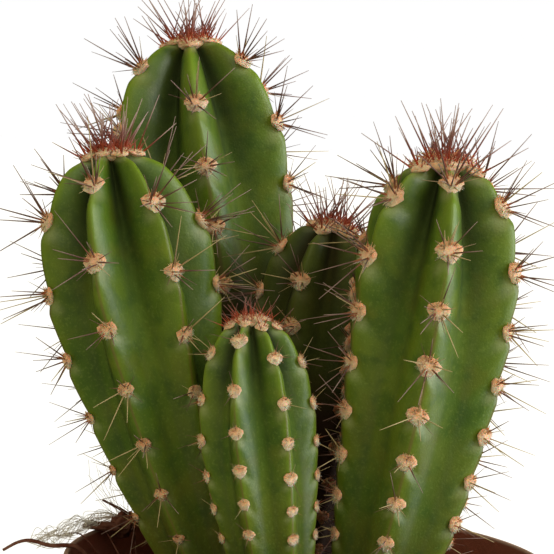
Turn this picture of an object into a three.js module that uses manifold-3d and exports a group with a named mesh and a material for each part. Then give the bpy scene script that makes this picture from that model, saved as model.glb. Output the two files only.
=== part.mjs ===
// A potted tall cactus: five ribbed stems, their woolly crowns, a thin plastic pot, soil and a few dry roots.
// Millimetres, +Z up, -Y is the front. The origin is the centre of the pot's flat base, on the ground.

import * as THREE from "three";
import { mergeVertices } from "three/addons/utils/BufferGeometryUtils.js";
import Module from "manifold-3d";

const wasm = await Module();
wasm.setup();

const GAP = 0.35; // clearance between pieces that rest in each other
const SLACK = 0.65; // clearance where one faceted wall faces another
const { lerp, clamp, degToRad } = THREE.MathUtils;

// The pot: a 17 cm nursery pot.
const POT = {
  height: 150,
  rimRadius: 85,
  baseRadius: 62,
  wall: 1.6,
  floor: 2.2,
  bandHeight: 14,
  bandStep: 2.4,
  corner: 1.5,
  sides: 36,
};
const DRAINS = { count: 6, ring: 44, radius: 5, sides: 8 };

// The soil: its surface rolls a little, and the stems' feet go down into it.
const SOIL = { top: 133, relief: 1.2, rings: 4 };
const BURIED = 16;

// The stems. foot and apex are the ends of the axis above the soil, bow is how far the axis bends to +X at
// mid-height, belly is the largest radius over the rib crests, dome is the height of the rounded top, and the
// stem thins from the belly to footRadius with the power taper. turn is the bearing of the front rib in degrees
// from -Y towards +X, and twist is how far the ribs turn by the foot. starts are the depths under the apex of
// each rib's first areole, from the front rib round by +X, and areoleGap is the spacing at the apex and foot.
const STEMS = [
  {
    place: "front_left",
    foot: [-27, -14],
    apex: [-73, -14, 289.4],
    bow: -4.6,
    belly: 29.3,
    dome: 46,
    footRadius: 12.5,
    taper: 1,
    ribs: 7,
    turn: -15,
    twist: 0,
    valley: 0.28,
    starts: [9.6, 17.8, 27.2, 14, 24, 12, 19.4],
    areoleGap: [24.3, 11.8],
    crown: [9, 4],
  },
  {
    place: "back_left",
    foot: [-31, 50],
    apex: [-51.4, 56, 327.3],
    bow: 0.5,
    belly: 35,
    dome: 52,
    footRadius: 16,
    taper: 2,
    ribs: 6,
    turn: 0.5,
    twist: 28,
    valley: 0.28,
    starts: [23, 9.1, 20, 12, 24, 9.1],
    areoleGap: [22.7, 16],
    crown: [11.5, 5],
  },
  {
    place: "right",
    foot: [21, -22],
    apex: [39, -24, 291.3],
    bow: 4,
    belly: 29.3,
    dome: 47,
    footRadius: 14.4,
    taper: 1.8,
    ribs: 6,
    turn: 7.5,
    twist: -19,
    valley: 0.28,
    starts: [6.5, 13.2, 9, 18, 9.5, 12],
    areoleGap: [20.8, 10.7],
    crown: [10.5, 5],
  },
  {
    place: "front_small",
    foot: [-8, -38],
    apex: [-22.5, -42, 239],
    bow: -1.3,
    belly: 19,
    dome: 38,
    footRadius: 9.5,
    taper: 1.5,
    ribs: 7,
    turn: -19,
    twist: 0,
    valley: 0.22,
    starts: [6, 11.8, 15, 9, 17, 12.5, 10.4],
    areoleGap: [15.2, 5.8],
    crown: [7, 3.5],
  },
  {
    place: "middle_back",
    foot: [-7, 12],
    apex: [3.5, 14, 266.4],
    bow: -2,
    belly: 21.7,
    dome: 34,
    footRadius: 12.5,
    taper: 1.6,
    ribs: 6,
    turn: -24,
    twist: 0,
    valley: 0.26,
    starts: [20, 18, 11, 19, 13, 11.1],
    areoleGap: [16.3, 10],
    crown: [8, 4],
  },
];

const VALLEY_AT_FOOT = 0.25; // the valleys' share of their depth that is left at the foot
const FLANK = 0.27; // where a rib's flank columns lie, as a share of the rib's width
const LEAST_GAP = 8.5; // areoles are no closer than this
const DOME_ROWS = 2; // gaps between areoles, from the tip, that have a row of points between them
const PAD = { height: 1.5, atFoot: 0.6 }; // atFoot: the share of a pad's radius that is left at the foot
const NEEDLE = { radius: 0.55, clear: 1.3, steps: 12 };
const CENTRAL_SPINE = [13, 21];
const RADIAL_SPINE = [6, 9];
const THREE_SPINES_TO = 60; // depth under the apex down to which each areole has three spines, then two
const CROWN_SPINE = [12, 19];
const CROWN_SPINES = 14;
const CROWN_SUNK = 0.8; // share of the wool cap's height that sits in the stem
const GOLDEN_ANGLE = Math.PI * (3 - Math.sqrt(5));

// One dry twig and three rootlets, from a knot on the soil out over the left rim.
const ROOT_KNOT = new THREE.Vector3(-62, 6, 137);
const ROOT_KNOT_RADIUS = 3;
const ROOTS = [
  {
    radius: 0.9,
    route: [
      [-72, 3, 142],
      [-80, 1, 150.2],
      [-84.6, 0, 151.9],
      [-91, -1, 152.3],
      [-98, -3, 152.2],
      [-106, -4, 149.5],
    ],
  },
  { radius: 0.5, route: [[-70, 12, 141], [-78.5, 16, 149.5], [-82.6, 18.5, 151.6], [-88, 21, 150.6]] },
  { radius: 0.5, route: [[-66, 20, 141], [-72.5, 30, 148.6], [-75.5, 34.2, 151.9], [-80, 36, 152.8]] },
  { radius: 0.5, route: [[-62, 24, 140], [-64, 40, 147], [-67, 48.5, 151.8], [-73, 54, 151.4]] },
];

// A random draw that gives the same numbers each run.
function seeded(seed) {
  let state = seed;
  return () => {
    state = (state * 1664525 + 1013904223) % 4294967296;
    return state / 4294967296;
  };
}

function bareMesh(geometry) {
  const bare = geometry.clone();
  bare.deleteAttribute("normal");
  bare.deleteAttribute("uv");
  return mergeVertices(bare, 1e-4);
}

function toSolid(geometry) {
  const merged = bareMesh(geometry);
  const vertProperties = merged.attributes.position.array;
  const triVerts = new Uint32Array(merged.index.array);
  return new wasm.Manifold(new wasm.Mesh({ numProp: 3, vertProperties, triVerts }));
}

// A closed skin of triangles that is worked locally: pads are raised on its points, and spines grow from its
// faces.
class Skin {
  constructor(geometry) {
    const merged = bareMesh(geometry);
    const { position } = merged.attributes;
    const index = merged.index.array;
    this.points = [];
    this.faces = [];
    for (let i = 0; i < position.count; i++) {
      this.points.push(new THREE.Vector3().fromBufferAttribute(position, i));
    }
    for (let i = 0; i < index.length; i += 3) this.faces.push([...index.slice(i, i + 3)]);
  }

  add(point) {
    return this.points.push(point) - 1;
  }

  nearest(point) {
    const distances = this.points.map((other) => other.distanceToSquared(point));
    return distances.indexOf(Math.min(...distances));
  }

  centre(face) {
    const sum = new THREE.Vector3();
    face.forEach((corner) => sum.add(this.points[corner]));
    return sum.divideScalar(3);
  }

  // Ring a point with a low pad and lift the point to be its top. Gives the pad's faces.
  raisePad(at, normal, radius, height) {
    const fan = this.faces.filter((face) => face.includes(at));
    this.faces = this.faces.filter((face) => !face.includes(at));
    const middle = this.points[at];
    const ring = new Map();
    const onRing = (corner) => {
      if (!ring.has(corner)) {
        const away = this.points[corner].clone().sub(middle);
        away.setLength(Math.min(radius, 0.6 * away.length()));
        ring.set(corner, this.add(middle.clone().add(away)));
      }
      return ring.get(corner);
    };
    const pad = [];
    for (const face of fan) {
      const turn = face.indexOf(at);
      const [a, b] = [face[(turn + 1) % 3], face[(turn + 2) % 3]];
      this.faces.push([onRing(a), a, b], [onRing(a), b, onRing(b)]);
      pad.push([at, onRing(a), onRing(b)]);
    }
    this.faces.push(...pad);
    middle.addScaledVector(normal, height);
    return pad;
  }

  // Draw a three-sided needle out of the middle of a face.
  growSpine(face, tip, radius) {
    this.faces.splice(this.faces.indexOf(face), 1);
    const middle = this.centre(face);
    const root = face.map((corner) => {
      const away = this.points[corner].clone().sub(middle).setLength(radius);
      return this.add(middle.clone().add(away));
    });
    const end = this.add(tip);
    for (let i = 0; i < 3; i++) {
      const j = (i + 1) % 3;
      this.faces.push([face[i], face[j], root[j]], [face[i], root[j], root[i]], [root[i], root[j], end]);
    }
  }

  solid() {
    const vertProperties = new Float32Array(this.points.flatMap((point) => point.toArray()));
    const triVerts = new Uint32Array(this.faces.flat());
    return new wasm.Manifold(new wasm.Mesh({ numProp: 3, vertProperties, triVerts }));
  }
}

// The largest piece of a solid as a geometry, with any loose scrap left out.
function toGeometry(solid) {
  const pieces = solid.decompose().sort((a, b) => b.volume() - a.volume());
  const mesh = pieces[0].getMesh();
  const geometry = new THREE.BufferGeometry();
  geometry.setAttribute("position", new THREE.BufferAttribute(mesh.vertProperties, 3));
  geometry.setIndex(new THREE.BufferAttribute(mesh.triVerts, 1));
  geometry.computeVertexNormals();
  return geometry;
}

function stemHeight(stem) {
  return stem.apex[2] - SOIL.top;
}

// The axis at a depth under the apex. Below the soil it goes straight on.
function axisPoint(stem, depth) {
  const up = 1 - depth / stemHeight(stem);
  const sway = 4 * stem.bow * up * (1 - up);
  return new THREE.Vector3(
    lerp(stem.foot[0], stem.apex[0], up) + sway,
    lerp(stem.foot[1], stem.apex[1], up),
    lerp(SOIL.top, stem.apex[2], up),
  );
}

// Two unit vectors across the axis at a depth: one towards +X and one towards +Y.
function acrossAxis(stem, depth) {
  const along = axisPoint(stem, depth - 0.5).sub(axisPoint(stem, depth + 0.5)).normalize();
  const toRight = new THREE.Vector3(1, 0, 0).addScaledVector(along, -along.x).normalize();
  return { toRight, toBack: new THREE.Vector3().crossVectors(along, toRight) };
}

// The radius over the rib crests at a depth: a round dome, then a thinning towards the foot.
function crestRadius(stem, depth) {
  const inDome = clamp(1 - depth / stem.dome, 0, 1);
  const below = clamp((depth - stem.dome) / (stemHeight(stem) - stem.dome), 0, 1);
  const column = lerp(stem.belly, stem.footRadius, below ** stem.taper);
  return column * Math.sqrt(1 - inDome * inDome);
}

// How much of the crest radius is left at a place in a rib: 0 is the crest, 0.5 is the valley.
function ribShare(stem, depth, place) {
  const low = clamp(depth / stemHeight(stem), 0, 1) ** 1.2;
  const valley = stem.valley * lerp(1, VALLEY_AT_FOOT, low);
  return 1 - valley * (1 - Math.abs(Math.cos(Math.PI * place)) ** 0.8);
}

function ribBearing(stem, rib, depth) {
  return degToRad(stem.turn + (360 * rib) / stem.ribs + (stem.twist * depth) / stemHeight(stem));
}

function outward(stem, depth, bearing) {
  const { toRight, toBack } = acrossAxis(stem, depth);
  return toRight.multiplyScalar(Math.sin(bearing)).addScaledVector(toBack, -Math.cos(bearing));
}

// A point of the stem's surface. rib may lie between whole numbers.
function surfacePoint(stem, depth, rib) {
  const share = ribShare(stem, depth, rib - Math.round(rib));
  const radius = crestRadius(stem, depth) * share;
  const way = outward(stem, depth, ribBearing(stem, rib, depth));
  return axisPoint(stem, depth).addScaledVector(way, radius);
}

// The radius of a felt pad: larger on a thick stem, and smaller towards the foot.
function padRadius(stem, depth) {
  return (1.6 + 0.065 * stem.belly) * lerp(1, PAD.atFoot, depth / stemHeight(stem));
}

// The depths of one rib's areoles.
function areoleDepths(stem, rib) {
  const depths = [];
  let depth = stem.starts[rib];
  while (depth < stemHeight(stem) - 4) {
    depths.push(depth);
    const gap = lerp(stem.areoleGap[0], stem.areoleGap[1], depth / stemHeight(stem));
    depth += Math.max(gap, LEAST_GAP);
  }
  return depths;
}

// The depths of the rows of the surface grid along one rib: close at the tip, then at each areole, with one
// more between areoles in the dome.
function crestRows(stem, rib, count) {
  const depths = areoleDepths(stem, rib).slice(0, count);
  const rows = [0, 1, 4, (4 + depths[0]) / 2];
  depths.forEach((depth, i) => {
    rows.push(depth);
    if (i < DOME_ROWS) rows.push((depth + depths[i + 1]) / 2);
  });
  return [...rows, stemHeight(stem), stemHeight(stem) + BURIED];
}

// The ribbed flesh as a sphere's grid, each vertex moved to its place. Four columns make a rib: crest, flank,
// valley, flank. The rows follow the areoles of each rib, so that each areole has a point of its own.
function fleshSkin(stem) {
  const ribs = [...Array(stem.ribs).keys()];
  const count = Math.min(...ribs.map((rib) => areoleDepths(stem, rib).length));
  const crests = ribs.map((rib) => crestRows(stem, rib, count));
  const columns = 4 * stem.ribs;
  const rings = crests[0].length;
  const grid = new THREE.SphereGeometry(1, columns, rings);
  const position = grid.attributes.position;
  const places = [0, FLANK, 0.5, 1 - FLANK];
  for (let row = 0; row <= rings; row++) {
    for (let column = 0; column <= columns; column++) {
      const rib = Math.floor(column / 4) % stem.ribs;
      const place = places[column % 4];
      const here = crests[rib][Math.min(row, rings - 1)];
      const next = crests[(rib + 1) % stem.ribs][Math.min(row, rings - 1)];
      const depth = lerp(here, next, place);
      const point = row === rings ? axisPoint(stem, depth) : surfacePoint(stem, depth, rib + place);
      position.setXYZ(row * (columns + 1) + column, point.x, point.y, point.z);
    }
  }
  return { skin: new Skin(grid), count };
}

// The unit normal of a crest at a depth: straight out from the axis, less what runs along the crest.
function crestNormal(stem, depth, rib) {
  const above = surfacePoint(stem, Math.max(depth - 1, 0), rib);
  const along = surfacePoint(stem, depth + 1, rib).sub(above).normalize();
  const out = outward(stem, depth, ribBearing(stem, rib, depth));
  return out.addScaledVector(along, -out.dot(along)).normalize();
}

// A direction that leans off a normal by a tilt, towards the side on which a point lies.
function leaning(normal, tilt, from, towards) {
  const side = towards.clone().sub(from);
  side.addScaledVector(normal, -side.dot(normal)).normalize();
  return normal.clone().multiplyScalar(Math.cos(tilt)).addScaledVector(side, Math.sin(tilt));
}

// Whether a point is too near a stem other than its own, the pot or the soil.
function isBlocked(point, own) {
  if (point.z < SOIL.top + 3) return true;
  if (point.z < POT.height + 3 && Math.hypot(point.x, point.y) > POT.rimRadius - 7) return true;
  return STEMS.some((stem) => {
    if (stem === own) return false;
    const depth = stem.apex[2] - point.z;
    if (depth < -3) return false;
    const shallow = clamp(depth, 0, stemHeight(stem));
    return point.distanceTo(axisPoint(stem, shallow)) < crestRadius(stem, shallow + 4) + 4;
  });
}

// The shortest distance between two needles, tried at steps along both.
function nearestApproach(a, b) {
  const segment = new THREE.Line3(b.from, b.to);
  const near = new THREE.Vector3();
  let least = Infinity;
  for (let step = 0; step <= NEEDLE.steps; step++) {
    const point = a.from.clone().lerp(a.to, step / NEEDLE.steps);
    segment.closestPointToPoint(point, true, near);
    least = Math.min(least, point.distanceTo(near));
  }
  return least;
}

const needles = []; // every needle placed so far

// Grow a needle from a face of a skin, shortened or left out where it would reach another piece or the needle
// of another pad.
function placeNeedle(skin, face, own, pad, direction, length) {
  const from = skin.centre(face);
  for (const share of [1, 0.75, 0.5, 0.35]) {
    const to = from.clone().addScaledVector(direction, length * share);
    const needle = { pad, from, to };
    if ([0.25, 0.5, 0.75, 1].some((step) => isBlocked(from.clone().lerp(to, step), own))) continue;
    const others = needles.filter((other) => other.pad !== pad);
    if (others.some((other) => nearestApproach(needle, other) < NEEDLE.clear)) continue;
    needles.push(needle);
    skin.growSpine(face, to, NEEDLE.radius);
    return;
  }
}

// The wool cap of a stem as a flattened ball sunk into its tip, larger by grow on all sides.
function woolCap(stem, grow) {
  const [radius, height] = stem.crown;
  const cap = new THREE.SphereGeometry(1, 9, 5).rotateX(Math.PI / 2);
  cap.scale(radius + grow, radius + grow, height + grow);
  const middle = capMiddle(stem);
  return cap.translate(middle.x, middle.y, middle.z);
}

function capMiddle(stem) {
  const middle = axisPoint(stem, 0);
  middle.z += stem.crown[1] * (1 - 2 * CROWN_SUNK);
  return middle;
}

// The crown: the wool cap with young spines that stand up and fan out.
function crownSolid(stem, random) {
  const skin = new Skin(woolCap(stem, 0));
  const middle = capMiddle(stem);
  const free = [...skin.faces];
  for (let i = 0; i < CROWN_SPINES; i++) {
    const spread = Math.sqrt((i + 0.5) / CROWN_SPINES);
    const tilt = spread + 0.15 * random();
    const way = new THREE.Vector3().setFromSphericalCoords(1, tilt, i * GOLDEN_ANGLE);
    way.set(way.z, way.x, way.y);
    const fits = free.map((face) => skin.centre(face).sub(middle).normalize().dot(way));
    const [face] = free.splice(fits.indexOf(Math.max(...fits)), 1);
    const length = lerp(...CROWN_SPINE, random()) * (1 - 0.25 * spread);
    placeNeedle(skin, face, stem, skin, way, length);
  }
  return skin.solid();
}

// The stem: its ribbed flesh, a felt pad on the crest at each areole, and the spines that stand in the pad.
function stemSolid(stem, random) {
  const { skin, count } = fleshSkin(stem);
  for (let rib = 0; rib < stem.ribs; rib++) {
    for (const depth of areoleDepths(stem, rib).slice(0, count)) {
      const at = skin.nearest(surfacePoint(stem, depth, rib));
      const normal = crestNormal(stem, depth, rib);
      const pad = skin.raisePad(at, normal, padRadius(stem, depth), PAD.height);
      const top = skin.points[at].clone();
      const first = Math.floor(random() * pad.length);
      const spines = depth < THREE_SPINES_TO ? 3 : 2;
      for (let i = 0; i < spines; i++) {
        const face = pad[(first + Math.round((i * pad.length) / spines)) % pad.length];
        const tilt = i === 0 ? lerp(0.2, 0.6, random()) : lerp(0.85, 1.15, random());
        const length = lerp(...(i === 0 ? CENTRAL_SPINE : RADIAL_SPINE), random());
        placeNeedle(skin, face, stem, pad, leaning(normal, tilt, top, skin.centre(face)), length);
      }
    }
  }
  return skin.solid().subtract(toSolid(woolCap(stem, GAP)));
}

// The buried foot and a little above it, wider by the gap, to be cut from the soil as a plain hole.
function footHole(stem) {
  const sides = 12;
  const depths = [stemHeight(stem) - 6, stemHeight(stem), stemHeight(stem) + BURIED + GAP];
  const grid = new THREE.SphereGeometry(1, sides, depths.length + 1);
  const position = grid.attributes.position;
  for (let row = 0; row <= depths.length + 1; row++) {
    const depth = depths[clamp(row - 1, 0, depths.length - 1)];
    const onAxis = row === 0 || row === depths.length + 1;
    for (let column = 0; column <= sides; column++) {
      const radius = onAxis ? 0 : (crestRadius(stem, depth) + SLACK) / Math.cos(Math.PI / sides);
      const way = outward(stem, depth, (2 * Math.PI * column) / sides);
      const point = axisPoint(stem, depth).addScaledVector(way, radius);
      position.setXYZ(row * (sides + 1) + column, point.x, point.y, point.z);
    }
  }
  return toSolid(grid);
}

// A round body from a profile of radius and height pairs that runs from the axis out and back to the axis. The
// faces that the axis squeezes to a line are taken out.
function turned(profile) {
  const points = profile.map(([radius, height]) => new THREE.Vector2(radius, height));
  const merged = bareMesh(new THREE.LatheGeometry(points, POT.sides).rotateX(Math.PI / 2));
  const kept = [];
  const index = merged.index.array;
  for (let i = 0; i < index.length; i += 3) {
    const [a, b, c] = index.slice(i, i + 3);
    if (a !== b && b !== c && c !== a) kept.push(a, b, c);
  }
  return merged.setIndex(kept);
}

function innerPotRadius(height) {
  const outer = lerp(POT.baseRadius, POT.rimRadius - POT.bandStep, height / POT.height);
  return outer - POT.wall;
}

function potSolid() {
  const { height, rimRadius, baseRadius, wall, floor, bandHeight, bandStep } = POT;
  const underBand = height - bandHeight;
  const bodyTop = lerp(baseRadius, rimRadius - bandStep, underBand / height);
  const body = turned([
    [0, 0],
    [baseRadius - POT.corner, 0],
    [baseRadius, POT.corner],
    [bodyTop, underBand],
    [rimRadius - 0.8, underBand + 1],
    [rimRadius, height - 0.8],
    [rimRadius - 0.5, height],
    [rimRadius - wall + 0.4, height],
    [rimRadius - wall, height - 0.5],
    [innerPotRadius(underBand) + 1, underBand + 1],
    [innerPotRadius(underBand), underBand - 2],
    [innerPotRadius(floor + POT.corner), floor + POT.corner],
    [innerPotRadius(floor) - POT.corner, floor],
    [0, floor],
  ]);
  let pot = toSolid(body);
  for (let i = 0; i < DRAINS.count; i++) {
    const bearing = (2 * Math.PI * (i + 0.5)) / DRAINS.count;
    const drill = new THREE.CylinderGeometry(DRAINS.radius, DRAINS.radius, 3 * floor, DRAINS.sides);
    drill.translate(0, floor / 2, 0).rotateX(Math.PI / 2);
    drill.translate(DRAINS.ring * Math.cos(bearing), DRAINS.ring * Math.sin(bearing), 0);
    pot = pot.subtract(toSolid(drill));
  }
  return pot;
}

// The height of the soil's surface, which rolls a little.
function soilHeight(x, y) {
  const roll = Math.sin(0.11 * x + 0.6) * Math.cos(0.09 * y - 0.3) + 0.5 * Math.sin(0.21 * y + 0.13 * x);
  return SOIL.top + SOIL.relief * roll;
}

function soilSolid() {
  const bottom = POT.floor + GAP;
  const corner = POT.corner + 0.5;
  const reach = innerPotRadius(SOIL.top) - SLACK;
  const profile = [
    [0, bottom],
    [innerPotRadius(bottom) - corner - SLACK, bottom],
    [innerPotRadius(bottom + corner) - SLACK, bottom + corner],
  ];
  for (let ring = SOIL.rings; ring >= 0; ring--) profile.push([(reach * ring) / SOIL.rings, SOIL.top]);
  const body = turned(profile);
  const position = body.attributes.position;
  for (let i = 0; i < position.count; i++) {
    if (position.getZ(i) > SOIL.top - 1) position.setZ(i, soilHeight(position.getX(i), position.getY(i)));
  }
  return STEMS.reduce((soil, stem) => soil.subtract(footHole(stem)), toSolid(body));
}

// The knot and the roots that run from it. A root's section is a plain pentagon.
function rootSolid() {
  const knot = new THREE.SphereGeometry(ROOT_KNOT_RADIUS, 8, 5).scale(1.3, 1, 0.7);
  const pieces = [toSolid(knot.translate(...ROOT_KNOT.toArray()))];
  for (const { radius, route } of ROOTS) {
    const points = [ROOT_KNOT, ...route.map((point) => new THREE.Vector3(...point))];
    const bearings = [0, 1, 2, 3, 4].map((i) => (2 * Math.PI * i) / 5);
    const corners = bearings.map((a) => new THREE.Vector2(radius * Math.cos(a), radius * Math.sin(a)));
    const extrudePath = new THREE.CatmullRomCurve3(points);
    const tube = new THREE.ExtrudeGeometry(new THREE.Shape(corners), { extrudePath, steps: 2 * points.length });
    pieces.push(toSolid(tube));
  }
  return wasm.Manifold.union(pieces);
}

function finish(color, roughness) {
  return new THREE.MeshStandardMaterial({ color, roughness, metalness: 0 });
}

function addNode(name, solid, material) {
  const mesh = new THREE.Mesh(toGeometry(solid), material);
  mesh.name = name;
  plant.add(mesh);
}

const plant = new THREE.Group();
addNode("pot", potSolid(), finish(0x864738, 0.45));
addNode("soil", soilSolid(), finish(0x3a2a20, 0.95));
addNode("dry_roots", rootSolid(), finish(0x8d7a6a, 0.9));

const wool = finish(0xb77f57, 0.95);
STEMS.forEach((stem, i) => addNode("crown_" + stem.place, crownSolid(stem, seeded(11 + i)), wool));

const flesh = finish(0x4c661f, 0.4);
STEMS.forEach((stem, i) => addNode("stem_" + stem.place, stemSolid(stem, seeded(101 + i)), flesh));

export default plant;
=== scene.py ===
"""A potted tall cactus: five ribbed stems with felt areoles, spines and woolly crowns in a nursery pot.

Lengths are in millimetres, and a piece's mesh is scaled to metres when it is finished. Only the finishes,
the floor and the backdrop are in metres. +Z is up, -Y is the front, and the origin is the centre of the
pot's base.
"""

import math
import random
from dataclasses import dataclass

import bmesh
import bpy
from mathutils import Matrix, Vector, noise


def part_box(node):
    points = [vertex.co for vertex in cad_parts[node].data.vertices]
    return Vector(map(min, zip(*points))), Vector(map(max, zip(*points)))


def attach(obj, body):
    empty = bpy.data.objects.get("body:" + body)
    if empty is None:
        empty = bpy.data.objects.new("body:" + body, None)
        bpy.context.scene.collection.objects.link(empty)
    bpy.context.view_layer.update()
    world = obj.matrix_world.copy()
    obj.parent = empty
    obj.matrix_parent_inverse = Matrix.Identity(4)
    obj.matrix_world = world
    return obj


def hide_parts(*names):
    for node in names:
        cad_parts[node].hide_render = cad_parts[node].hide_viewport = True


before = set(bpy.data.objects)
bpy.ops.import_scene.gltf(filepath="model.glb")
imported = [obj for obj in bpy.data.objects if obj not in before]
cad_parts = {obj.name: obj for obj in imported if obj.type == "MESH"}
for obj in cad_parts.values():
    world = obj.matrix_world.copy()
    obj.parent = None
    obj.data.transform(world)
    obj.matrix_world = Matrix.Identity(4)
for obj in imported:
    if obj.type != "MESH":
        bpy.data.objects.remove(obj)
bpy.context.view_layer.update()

METRES = 0.001  # one millimetre
GOLDEN_ANGLE = math.pi * (3 - math.sqrt(5))

# The pot's outer sizes come from the frame, and the rest follows the CAD pot.
POT_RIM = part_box("pot")[1].x / METRES  # radius
POT_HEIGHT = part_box("pot")[1].z / METRES
POT_BASE = 62  # radius
POT_WALL = 1.6
POT_FLOOR = 2.2
BAND_HEIGHT = 14
BAND_STEP = 2.4
BAND_SLOPE = 0.8  # the step's rise, and the band's lean from there to the rim
DRAIN_HOLES = 6
DRAIN_RING = 44
DRAIN_RADIUS = 5
POT_SIDES = 144

SOIL_TOP = 133
SOIL_RELIEF = 1.2
SOIL_RINGS = 52
SOIL_CLEARANCE = 0.4  # between the soil and the pot
CLOD_HEIGHT = 1.3
CRUMBS = 1500
CRUMB_SIZES = (0.5, 2.0)

# The radii are those at a root's two ends.
TWIG_RADII = (1.0, 0.5)
STICK_RADII = (0.8, 0.4)
ROOTLET_RADII = (0.5, 0.2)
LACE_FIBRES = 120
LACE_RADII = (0.1, 0.07)
CLIMBING_FIBRES = 15
CLIMBING_RADII = (0.08, 0.06)

BURIED = 16  # how far a stem's foot goes down into the soil
SHOULDER = 2.2  # the power of the rounded top's curve: 2 is an ellipse, and more is squarer
COLUMNS_PER_RIB = 26
ROW_STEP = 1.0  # between the skin's rows of vertices
VALLEY_AT_FOOT = 0.09  # how deep the valleys are there, as a share of the radius
RIDGE_HEIGHT = 0.22  # of the fine edge along a crest
RIDGE_WIDTH = 1.3
UNEVENNESS = 0.5  # how far the skin strays from its even shape
BULGE = 0.12  # how far a rib swells between two areoles, as a share of their distance
BULGE_GAP = 22  # a distance over this makes a rib swell no further
LAST_BULGE = 12  # the length of the swelling under a rib's lowest areole
CHEVRON = 0.9  # how far a swelling's edge falls for each millimetre to the side of the crest

LEAST_GAP = 8.5  # between two grown areoles of a rib
FOOT_MARGIN = 4  # from the soil up to the lowest areole
TIP_MARGIN = 2.6  # from the tip down to the first young areole
YOUNG_RATIO = 0.45  # a young areole lies at this share of the way from the tip to the one under it
SLOPE_REACH = 2.2  # how far up and down the crest an areole's slope is measured

# Sizes of felt fibres are shares of their pad's radius.
FELT_FIBRES = 84  # of a grown areole
CROWN_FIBRES = 90  # of a young one, and of the cushion at the tip
FIBRE_LENGTHS = (0.2, 0.55)
FIBRE_RADII = (0.05, 0.012)

# Spines get these lengths on a stem with a spine_size of 1. Grown ones also shorten towards the foot.
LONG_SPINES = (11, 22)
SHORT_SPINES = (4, 9)
YOUNG_LONG_SPINES = (11, 23)
YOUNG_SHORT_SPINES = (2.5, 8)
CUSHION_SPINES = 30
CUSHION_SINK = 2.4  # how far the cushion's middle lies under the stem's tip
SPINE_TAPER = 0.3  # a spine's radius at its tip, as a share of the one at its root
SPINE_FADE = 14  # how far up a spine its colour changes


def clamp(value, low=0.0, high=1.0):
    return max(low, min(high, value))


def mix(a, b, share):
    return a + (b - a) * share


def smooth(value, low, high):
    """0 below low and 1 above high, with a smooth change between them."""
    share = clamp((value - low) / (high - low))
    return share * share * (3 - 2 * share)


# ---------------------------------------------------------------------------------------------------------
# Stems
# ---------------------------------------------------------------------------------------------------------


@dataclass(frozen=True)
class Stem:
    """A ribbed stem. Depths are measured down from its apex.

    foot and apex are the ends of its axis above the soil, and bow is how far the axis bends towards +X.
    belly is the largest radius over the crests, dome the height of the rounded top, and taper the power
    of the curve from belly to foot_radius. turn is the bearing of rib 0 in degrees from -Y towards +X,
    and twist how far the ribs turn down to the foot. valley sets how deep the valleys between them are
    towards the top, and bulge scales the swellings along the crests.

    starts are the depths of each rib's first grown areole, and gaps the spacing of the grown ones at the
    tip and at the foot. young_ratio places the lowest young areole, as YOUNG_RATIO places the others.
    wool is the radius of the cushion at the tip. pads scales the felt pads at the tip and at the foot,
    and spine_size the spines. felt_age is how fast the felt browns down the stem. gloom, from 0 to 1,
    is painted shade that darkens the skin to brown, in the upper third and in the lower half.
    """

    place: str
    foot: tuple
    apex: tuple
    bow: float
    belly: float
    dome: float
    foot_radius: float
    taper: float
    ribs: int
    turn: float
    twist: float
    valley: float
    starts: tuple
    gaps: tuple
    wool: float
    felt_age: float
    young_ratio: float = YOUNG_RATIO
    bulge: float = 1.0
    painted_shade: tuple = (0.0, 0.0)
    spine_size: float = 1.0
    pads: tuple = (1.0, 0.6)

    @property
    def height(self):
        return self.apex[2] - SOIL_TOP

    def axis(self, depth):
        up = 1 - depth / self.height
        sway = 4 * self.bow * up * (1 - up)
        x = mix(self.foot[0], self.apex[0], up) + sway
        y = mix(self.foot[1], self.apex[1], up)
        return Vector((x, y, mix(SOIL_TOP, self.apex[2], up)))

    def across(self, depth):
        """The way up the axis, and the ways across it towards +X and towards +Y."""
        along = (self.axis(depth - 0.5) - self.axis(depth + 0.5)).normalized()
        right = (Vector((1, 0, 0)) - along * along.x).normalized()
        return along, right, along.cross(right)

    def crest_radius(self, depth):
        in_dome = clamp(1 - depth / self.dome)
        below = clamp((depth - self.dome) / (self.height - self.dome))
        column = mix(self.belly, self.foot_radius, below**self.taper)
        return column * (1 - in_dome**SHOULDER) ** (1 / SHOULDER)

    @property
    def dome_arc(self):
        """The way over the skin from the tip to the end of the rounded top, roughly."""
        return math.pi / 4 * (self.belly + self.dome)

    def arc(self, depth):
        """The way over the skin from the tip down to a depth."""
        turned = math.acos(clamp(1 - depth / self.dome)) / (math.pi / 2)
        return self.dome_arc * turned + max(0, depth - self.dome)

    def depth_at(self, arc):
        """The depth at a way over the skin from the tip."""
        turned = clamp(arc / self.dome_arc) * math.pi / 2
        return self.dome * (1 - math.cos(turned)) + max(0, arc - self.dome_arc)

    def grown(self, rib):
        """The depths of a rib's grown areoles."""
        depths = []
        depth = self.starts[rib]
        while depth < self.height - FOOT_MARGIN:
            depths.append(depth)
            depth += max(mix(*self.gaps, depth / self.height), LEAST_GAP)
        return depths

    def young(self, rib):
        """The depths of a rib's young areoles, which crowd towards the tip."""
        depths = []
        arc = self.arc(self.starts[rib]) * self.young_ratio
        while arc > TIP_MARGIN:
            depths.append(self.depth_at(arc))
            arc *= YOUNG_RATIO
        return depths[::-1]

    def pad_radius(self, depth):
        return (1.6 + 0.065 * self.belly) * mix(*self.pads, depth / self.height)


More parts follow.
